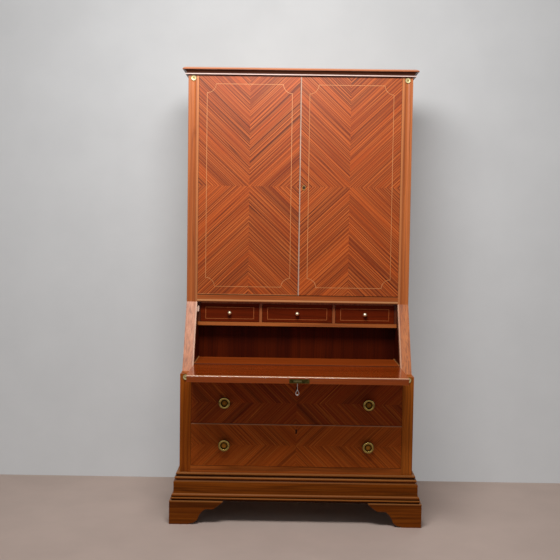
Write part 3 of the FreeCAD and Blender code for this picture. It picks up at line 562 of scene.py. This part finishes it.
finishes = {
    uprightRed: ["upper_stiles"],
    sideRed: ["upper_sides"],
    slopeRed: ["slope_stiles"],
    levelRed: ["upper_rail"],
    corniceRed: ["cornice"],
    uprightDark: ["case_sides", "lower_stiles"],
    levelDark: ["bottom_rail", "case_top"],
    baseWood: ["base_mouldings"],
    footWood: ["front_feet", "rear_feet"],
    fallWood: ["fall_board"],
    leftVeneer: ["left_door"],
    rightVeneer: ["right_door"],
    lowerVeneer: ["lower_drawer_front"],
    shadedUpperVeneer: ["upper_drawer_front"],
    smallVeneer: ["left_small_drawer_front", "middle_small_drawer_front", "right_small_drawer_front"],
    floorWood: ["desk_floor"],
    beadWood: ["side_beads"],
    innerUpright: ["desk_cheeks", "desk_back"],
    shelfWood: ["drawer_shelf"],
    nestWood: ["drawer_nest"],
    plainLevel: ["upper_top", "upper_bottom", "upper_shelves", "drawer_floors", "upper_drawer_box",
                 "lower_drawer_box"],
    plainUpright: ["case_back", "upper_back"],
    plainDeep: ["drawer_guides", "left_small_drawer_box", "middle_small_drawer_box",
                "right_small_drawer_box"],
    paleLine: ["left_door_stringing", "right_door_stringing"],
    paleBead: ["meeting_bead", "fall_stop"],
    knobBrass: ["upper_drawer_knobs", "lower_drawer_knobs"],
    agedBrass: ["shelf_pins", "case_hinge_leaves", "left_door_hinge_leaves", "right_door_hinge_leaves",
                "fall_pivot_bushes", "fall_pivot_pins", "door_strike"],
    lockBrass: ["door_lock"],
    dullBrass: ["fall_lock"],
    boltBrass: ["fall_lock_bolt"],
    brightBrass: ["left_small_drawer_knob", "middle_small_drawer_knob", "right_small_drawer_knob"],
    roundelBrass: ["corner_roundels"],
    wornSteel: ["door_lock_bolt", "fall_key"],
}
for material, names in finishes.items():
    for name in names:
        mesh = nodes[name].data
        mesh.materials.clear()
        mesh.materials.append(material)
print("materials set on", sum(map(len, finishes.values())), "nodes")


# Softened edges on the boards
softEdges = {"width": 0.0012, "segments": 2, "angle": 0.7}
for name in ("case_sides", "lower_stiles", "slope_stiles", "upper_sides", "upper_stiles", "front_feet",
             "rear_feet", "base_mouldings", "bottom_rail", "case_top", "upper_rail", "cornice", "left_door",
             "right_door", "upper_drawer_front", "lower_drawer_front", "drawer_shelf"):
    bevel = nodes[name].modifiers.new("soft edges", "BEVEL")
    bevel.width = softEdges["width"]
    bevel.segments = softEdges["segments"]
    bevel.limit_method = "ANGLE"
    bevel.angle_limit = softEdges["angle"]
print("edges softened")


# Modelling helpers
standing = (math.pi / 2, 0.0, 0.0)  # turns what lies flat to stand on its edge
facing = 0.9  # a face whose normal goes past this looks that way


def selectOnly(piece):
    bpy.ops.object.select_all(action="DESELECT")
    piece.select_set(True)
    bpy.context.view_layer.objects.active = piece


def settle(piece):
    # The piece's place, turn and size go into its mesh
    selectOnly(piece)
    bpy.ops.object.transform_apply(location=True, rotation=True, scale=True)


def addBlock(name, low, high):
    bpy.ops.object.select_all(action="DESELECT")
    bpy.ops.mesh.primitive_cube_add(size=1.0, location=(Vector(low) + Vector(high)) / 2)
    piece = bpy.context.object
    piece.name = name
    piece.scale = Vector(high) - Vector(low)
    settle(piece)
    return piece


def editAll():
    bpy.ops.object.mode_set(mode="EDIT")
    bpy.ops.mesh.select_mode(type="FACE")
    bpy.ops.mesh.select_all(action="SELECT")


def leaveEdit():
    bpy.ops.mesh.select_all(action="SELECT")
    bpy.ops.mesh.normals_make_consistent(inside=False)
    bpy.ops.object.mode_set(mode="OBJECT")


def pickFaces(piece, test):
    # Faces chosen by their middle and normal, left selected in edit mode
    selectOnly(piece)
    editAll()
    bpy.ops.mesh.select_all(action="DESELECT")
    bpy.ops.object.mode_set(mode="OBJECT")
    for face in piece.data.polygons:
        face.select = test(face.center, face.normal)
    bpy.ops.object.mode_set(mode="EDIT")


def softenPiece(piece, width, segments=2, smooth=0.6):
    selectOnly(piece)
    bevel = piece.modifiers.new("edges", "BEVEL")
    bevel.width = width
    bevel.segments = segments
    bevel.limit_method = "ANGLE"
    bpy.ops.object.modifier_apply(modifier=bevel.name)
    bpy.ops.object.shade_smooth_by_angle(angle=smooth)


def joinPieces(name, pieces):
    bpy.ops.object.select_all(action="DESELECT")
    for piece in pieces:
        piece.select_set(True)
    bpy.context.view_layer.objects.active = pieces[0]
    bpy.ops.object.join()
    pieces[0].name = name
    return pieces[0]


def copyTo(piece, spot):
    # A copy with its own mesh
    twin = piece.copy()
    twin.data = piece.data.copy()
    bpy.context.scene.collection.objects.link(twin)
    twin.location = spot
    settle(twin)
    return twin


def finishPiece(piece, body, material):
    piece.data.materials.clear()
    piece.data.materials.append(material)
    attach(piece, body)


def addLineFrame(name, low, high, width, depth):
    # A flat line round a rectangle: an upright plane is inset, its middle taken out and the rest thickened
    bpy.ops.object.select_all(action="DESELECT")
    bpy.ops.mesh.primitive_plane_add(size=1.0, location=(Vector(low) + Vector(high)) / 2, rotation=standing)
    piece = bpy.context.object
    piece.name = name
    piece.scale = (high[0] - low[0], high[2] - low[2], 1.0)
    settle(piece)
    editAll()
    bpy.ops.mesh.inset(thickness=width)
    bpy.ops.mesh.delete(type="FACE")
    bpy.ops.mesh.select_all(action="SELECT")
    bpy.ops.mesh.extrude_region_move(TRANSFORM_OT_translate={"value": (0.0, depth, 0.0)})
    leaveEdit()
    return piece


# Pale lines let into the small drawers
smallString = {"sideInset": 0.025, "topInset": 0.017, "footInset": 0.014, "width": 0.0022, "proud": 0.00015,
               "depth": 0.0008}
for side in ("left", "middle", "right"):
    low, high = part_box(side + "_small_drawer_front")
    front = low[1] - smallString["proud"]
    line = addLineFrame(side + "_small_drawer_stringing",
                        (low[0] + smallString["sideInset"], front, low[2] + smallString["footInset"]),
                        (high[0] - smallString["sideInset"], front, high[2] - smallString["topInset"]),
                        smallString["width"], smallString["depth"])
    finishPiece(line, "small_drawer_" + side, darkLine)
print("small drawer lines laid")


# Painted highlight: a pale strip in the stringing's colour along the foot of the left door, standing in for
# the light caught on that edge
doorFootHighlight = {"height": 0.0024, "inset": 0.001, "proud": 0.00015, "depth": 0.0012, "round": 0.0003}
low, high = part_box("left_door")
highlightStrip = addBlock("left_door_painted_highlight",
                 (low[0] + doorFootHighlight["inset"], low[1] - doorFootHighlight["proud"], low[2]),
                 (high[0] - doorFootHighlight["inset"], low[1] + doorFootHighlight["depth"], low[2] + doorFootHighlight["height"]))
softenPiece(highlightStrip, doorFootHighlight["round"])
finishPiece(highlightStrip, "door_left", paleLine)
print("door foot highlight painted")


# Key with a turned stem, a collar and a pear-shaped bow; each turning is (step down, widening)
keyShape = {
    "stemRadius": 0.0017, "stemSides": 24, "intoBow": 0.003, "thinnest": 0.0003,
    "turning": ((0.0, 1.55), (0.0015, 1.0), (0.001, 0.72), (0.001, 1.25), (0.0012, 1.0), (0.0, 0.72),
                (0.003, 1.0)),
    "bowRadius": 0.0078, "bowWire": 0.0019, "bowSides": 40, "wireSides": 12, "bowWide": 0.94, "bowTall": 1.45,
    "pinch": 0.80, "pinchAt": (0.1, 0.45, 0.75),
    "bitReach": 0.0035, "bitHeight": 0.006, "bitHalfThick": 0.0009, "smooth": 0.7,
}


def makeStem(axis, top, bowTop):
    drop = top - bowTop - sum(step for step, widen in keyShape["turning"]) + keyShape["intoBow"]
    bpy.ops.object.select_all(action="DESELECT")
    bpy.ops.mesh.primitive_circle_add(vertices=keyShape["stemSides"], radius=keyShape["stemRadius"],
                                      fill_type="NGON", location=(0.0, axis, top))
    stem = bpy.context.object
    settle(stem)
    editAll()
    for step, widen in ((drop, 1.0), *keyShape["turning"]):
        down = max(step, keyShape["thinnest"])
        bpy.ops.mesh.extrude_region_move(TRANSFORM_OT_translate={"value": (0.0, 0.0, -down)})
        bpy.ops.transform.resize(value=(widen, widen, 1.0), center_override=(0.0, axis, 0.0))
    leaveEdit()
    return stem


def makeBow(axis, foot, bowTop):
    centre = Vector((0.0, axis, (foot + bowTop) / 2))
    bpy.ops.object.select_all(action="DESELECT")
    bpy.ops.mesh.primitive_torus_add(major_radius=keyShape["bowRadius"], minor_radius=keyShape["bowWire"],
                                     major_segments=keyShape["bowSides"],
                                     minor_segments=keyShape["wireSides"], location=centre, rotation=standing)
    bow = bpy.context.object
    bow.scale = (keyShape["bowWide"], keyShape["bowTall"], 1.0)
    settle(bow)
    for share in keyShape["pinchAt"]:
        level = centre.z + share * (bowTop - centre.z)
        pickFaces(bow, lambda spot, normal: spot.z > level)
        bpy.ops.transform.resize(value=(keyShape["pinch"], 1.0, 1.0), center_override=centre)
        leaveEdit()
    return bow


def makeKey():
    low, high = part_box("fall_key")
    axis = (low[1] + high[1]) / 2
    bowTop = low[2] + 2 * (keyShape["bowRadius"] + keyShape["bowWire"]) * keyShape["bowTall"]
    stem = makeStem(axis, high[2], bowTop)
    bow = makeBow(axis, low[2], bowTop)
    bit = addBlock("key_bit", (0.0, axis - keyShape["bitHalfThick"], high[2] - keyShape["bitHeight"]),
                   (keyShape["stemRadius"] + keyShape["bitReach"], axis + keyShape["bitHalfThick"], high[2]))
    key = joinPieces("fall_key_turned", [stem, bow, bit])
    bpy.ops.object.shade_smooth_by_angle(angle=keyShape["smooth"])
    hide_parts("fall_key")
    finishPiece(key, "key", wornSteel)


makeKey()
print("key made")


# Slotted screws, modelled once and copied
screwShape = {"radius": 0.0030, "height": 0.0010, "sides": 24, "slotWide": 0.0007, "slotDeep": 0.0006,
              "bevel": 0.0004}


def makeScrew():
    # Head facing +Y, its seat at the origin
    radius, height, half = screwShape["radius"], screwShape["height"], screwShape["slotWide"] / 2
    bpy.ops.object.select_all(action="DESELECT")
    bpy.ops.mesh.primitive_cylinder_add(vertices=screwShape["sides"], radius=radius, depth=height,
                                        location=(0.0, height / 2, 0.0), rotation=standing)
    head = bpy.context.object
    head.name = "screw"
    settle(head)
    softenPiece(head, screwShape["bevel"])
    slot = addBlock("slot", (-radius * 2, height - screwShape["slotDeep"], -half),
                    (radius * 2, height * 2, half))
    cut = head.modifiers.new("slot", "BOOLEAN")
    cut.operation = "DIFFERENCE"
    cut.solver = "EXACT"
    cut.object = slot
    bpy.context.view_layer.objects.active = head
    bpy.ops.object.modifier_apply(modifier=cut.name)
    bpy.data.objects.remove(slot, do_unlink=True)
    return head


screw = makeScrew()


def screwsAt(name, body, material, spots):
    heads = [copyTo(screw, spot) for spot in spots]
    finishPiece(joinPieces(name, heads), body, material)


def cornerSpots(low, high, inset):
    # Four places on the back face of a box
    return [(x, high[1], z) for x in (low[0] + inset, high[0] - inset)
            for z in (low[2] + inset, high[2] - inset)]


# Screws of the door's lock and strike
doorScrews = {"lockInset": 0.008, "strikeInset": 0.005, "strikeAside": 0.004}
low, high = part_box("door_lock")
screwsAt("door_lock_screws", "door_right", agedBrass, cornerSpots(low, high, doorScrews["lockInset"]))
low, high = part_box("door_strike")
strikeX = (low[0] + high[0]) / 2 - doorScrews["strikeAside"]
strikeHeights = (low[2] + doorScrews["strikeInset"], high[2] - doorScrews["strikeInset"])
screwsAt("door_strike_screws", "door_left", agedBrass, [(strikeX, high[1], z) for z in strikeHeights])


# Iron locks behind the large drawers
drawerLock = {"halfWidth": 0.034, "depth": 0.011, "drop": 0.016, "height": 0.042, "plate": 0.004,
              "step": 0.0015, "round": 0.0012, "screwInset": 0.009}
for side in ("upper", "lower"):
    low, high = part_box(side + "_drawer_front")
    top = high[2] - drawerLock["drop"]
    boxLow = Vector((-drawerLock["halfWidth"], high[1], top - drawerLock["height"]))
    boxHigh = Vector((drawerLock["halfWidth"], high[1] + drawerLock["depth"], top))
    raised = Vector((0.0, drawerLock["step"], 0.0))
    lock = addBlock(side + "_drawer_lock", boxLow, boxHigh)
    pickFaces(lock, lambda spot, normal: normal.y > facing)
    bpy.ops.mesh.inset(thickness=drawerLock["plate"])
    bpy.ops.mesh.extrude_region_move(TRANSFORM_OT_translate={"value": raised})
    leaveEdit()
    softenPiece(lock, drawerLock["round"])
    finishPiece(lock, "drawer_" + side, darkIron)
    screwsAt(side + "_drawer_lock_screws", "drawer_" + side, wornSteel,
             cornerSpots(boxLow, boxHigh + raised, drawerLock["screwInset"]))
bpy.data.objects.remove(screw, do_unlink=True)
print("locks and screws set")


# Dark iron plates round the large drawers' keyholes, painted shade standing in for the dark inside of the
# keyholes
keyholeShade = {"halfWidth": 0.0034, "up": 0.0045, "down": 0.0165, "proud": 0.0003, "drop": 0.027, "depth": 0.0006,
         "rim": 0.0008, "hollow": 0.00025, "round": 0.0008, "segments": 3}
for side in ("upper", "lower"):
    low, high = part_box(side + "_drawer_front")
    z = high[2] - keyholeShade["drop"]
    plate = addBlock(side + "_drawer_keyhole_shade_plate",
                     (-keyholeShade["halfWidth"], low[1] - keyholeShade["proud"], z - keyholeShade["down"]),
                     (keyholeShade["halfWidth"], low[1] + keyholeShade["depth"], z + keyholeShade["up"]))
    pickFaces(plate, lambda spot, normal: normal.y < -facing)
    bpy.ops.mesh.inset(thickness=keyholeShade["rim"])
    bpy.ops.transform.translate(value=(0.0, keyholeShade["hollow"], 0.0))
    leaveEdit()
    softenPiece(plate, keyholeShade["round"], keyholeShade["segments"])
    finishPiece(plate, "drawer_" + side, darkIron)
print("keyhole shade plates set")


# Dovetails where the large drawers' sides meet their fronts
dovetail = {"count": 5, "length": 0.015, "wide": 0.017, "narrow": 0.55, "proud": 0.00012, "thick": 0.0008}
for side in ("upper", "lower"):
    low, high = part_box(side + "_drawer_box")
    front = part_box(side + "_drawer_front")[1][1]
    half = dovetail["wide"] / 2
    tails = []
    for x, out in ((low[0], -1.0), (high[0], 1.0)):
        face = x + out * dovetail["proud"]
        left, right = sorted((face, face - out * dovetail["thick"]))
        for step in range(dovetail["count"]):
            z = low[2] + (high[2] - low[2]) * (step + 0.5) / dovetail["count"]
            tail = addBlock("tail", (left, front, z - half), (right, front + dovetail["length"], z + half))
            pickFaces(tail, lambda spot, normal: normal.y < -facing)
            bpy.ops.transform.resize(value=(1.0, 1.0, dovetail["narrow"]), center_override=(x, front, z))
            leaveEdit()
            tails.append(tail)
    finishPiece(joinPieces(side + "_drawer_dovetails", tails), "drawer_" + side, levelDark)
print("dovetails cut")


# Back of upright boards with chamfered edges
backBoards = {"width": boardWidth, "chamfer": 0.0022, "segments": 1}
for node in ("case_back", "upper_back"):
    low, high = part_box(node)
    count = round((high[0] - low[0]) / backBoards["width"])
    width = (high[0] - low[0]) / count
    boards = []
    for step in range(count):
        left = low[0] + step * width
        board = addBlock("board", (left, low[1], low[2]), (left + width, high[1], high[2]))
        softenPiece(board, backBoards["chamfer"], backBoards["segments"])
        boards.append(board)
    panel = joinPieces(node + "_boards", boards)
    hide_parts(node)
    finishPiece(panel, "case", plainUpright)
print("back boarded")


# Stage, lights and camera
stageLook = {"size": 14.0, "floor": "CFBAAE", "wall": "B4B4B4", "wallGlow": 0.47, "behind": 0.25,
             "clouds": 3.0, "cloudDim": 0.93, "cloudTones": (0.35, 0.65), "rough": 0.85}


def addSheet(name, colour, glow, location, rotation):
    bpy.ops.object.select_all(action="DESELECT")
    bpy.ops.mesh.primitive_plane_add(size=stageLook["size"], location=location, rotation=rotation)
    sheet = bpy.context.object
    sheet.name = name
    material, tree, shader = newMaterial(name)
    base = tone(colour)
    dim = [c * stageLook["cloudDim"] for c in base[:3]] + [1.0]
    cloud = noise(tree, objectPoint(tree), stageLook["clouds"], detail=4.0)
    clouded = ramp(tree, cloud, list(zip(stageLook["cloudTones"], (dim, base))))
    tree.links.new(clouded, shader.inputs["Base Color"])
    shader.inputs["Roughness"].default_value = stageLook["rough"]
    shader.inputs["Emission Color"].default_value = base
    tree.links.new(times(tree, seenRays(tree), glow), shader.inputs["Emission Strength"])
    sheet.data.materials.append(material)
    return sheet


def makeStage():
    addSheet("floor", stageLook["floor"], 0.0, (0.0, 0.0, 0.0), (0.0, 0.0, 0.0))
    wallY = cadBox[1][1] + stageLook["behind"]
    wall = addSheet("backdrop", stageLook["wall"], stageLook["wallGlow"], (0.0, wallY, 0.0), standing)
    # The backdrop is clear from behind and casts no shadow, so the back of the cabinet is seen and lit
    tree = wall.data.materials[0].node_tree
    clear = tree.nodes.new("ShaderNodeBsdfTransparent").outputs[0]
    mix = tree.nodes.new("ShaderNodeMixShader")
    tree.links.new(tree.nodes.new("ShaderNodeNewGeometry").outputs["Backfacing"], mix.inputs[0])
    tree.links.new(tree.nodes["Principled BSDF"].outputs[0], mix.inputs[1])
    tree.links.new(clear, mix.inputs[2])
    tree.links.new(mix.outputs[0], tree.nodes["Material Output"].inputs["Surface"])
    wall.visible_shadow = False


lamps = {
    "key": {"at": (-0.25, -1.45, 2.90), "to": (0.0, 0.1, 1.5), "size": (1.3, 0.8), "power": 58.0},
    "fill": {"at": (-1.6, -4.2, 2.2), "to": (0.0, 0.0, 1.0), "size": (2.4, 2.0), "power": 7.0},
    "side": {"at": (2.6, -3.0, 2.6), "to": (0.2, 0.0, 1.0), "size": (1.6, 1.6), "power": 5.5},
    "rear": {"at": (0.6, 2.6, 3.6), "to": (0.0, 0.4, 1.2), "size": (2.0, 1.2), "power": 22.0},
}


def makeLamp(name, settings):
    data = bpy.data.lights.new(name, "AREA")
    data.shape = "RECTANGLE"
    data.size, data.size_y = settings["size"]
    data.energy = settings["power"]
    lamp = bpy.data.objects.new(name, data)
    bpy.context.scene.collection.objects.link(lamp)
    lamp.location = settings["at"]
    aim = Vector(settings["to"]) - Vector(settings["at"])
    lamp.rotation_euler = aim.to_track_quat("-Z", "Y").to_euler()


worldLook = {"colour": (0.96, 0.97, 1.0, 1.0), "light": 0.05, "seen": 0.50}


def makeWorld():
    world = bpy.data.worlds.new("world")
    world.use_nodes = True
    tree = world.node_tree
    sky = tree.nodes["Background"].inputs
    sky["Color"].default_value = worldLook["colour"]
    strength = mapRange(tree, seenRays(tree), 0.0, 1.0, worldLook["light"], worldLook["seen"])
    tree.links.new(strength, sky["Strength"])
    bpy.context.scene.world = world


cameraView = {"at": (-0.0563, -4.4295, 1.4084), "lens": 59.07, "sensor": 36.0, "pitch": 0.059, "yaw": 0.007,
              "roll": 0.014}


def makeCamera():
    data = bpy.data.cameras.new("camera")
    data.lens = cameraView["lens"]
    data.sensor_width = cameraView["sensor"]
    camera = bpy.data.objects.new("camera", data)
    bpy.context.scene.collection.objects.link(camera)
    yaw = Matrix.Rotation(cameraView["yaw"], 4, "Z")
    pitch = Matrix.Rotation(math.pi / 2 - cameraView["pitch"], 4, "X")
    roll = Matrix.Rotation(cameraView["roll"], 4, "Z")
    camera.matrix_world = Matrix.Translation(cameraView["at"]) @ yaw @ pitch @ roll
    bpy.context.scene.camera = camera


makeStage()
for name, settings in lamps.items():
    makeLamp(name, settings)
makeWorld()
bpy.context.scene.view_settings.view_transform = "Standard"
makeCamera()
print("stage set")
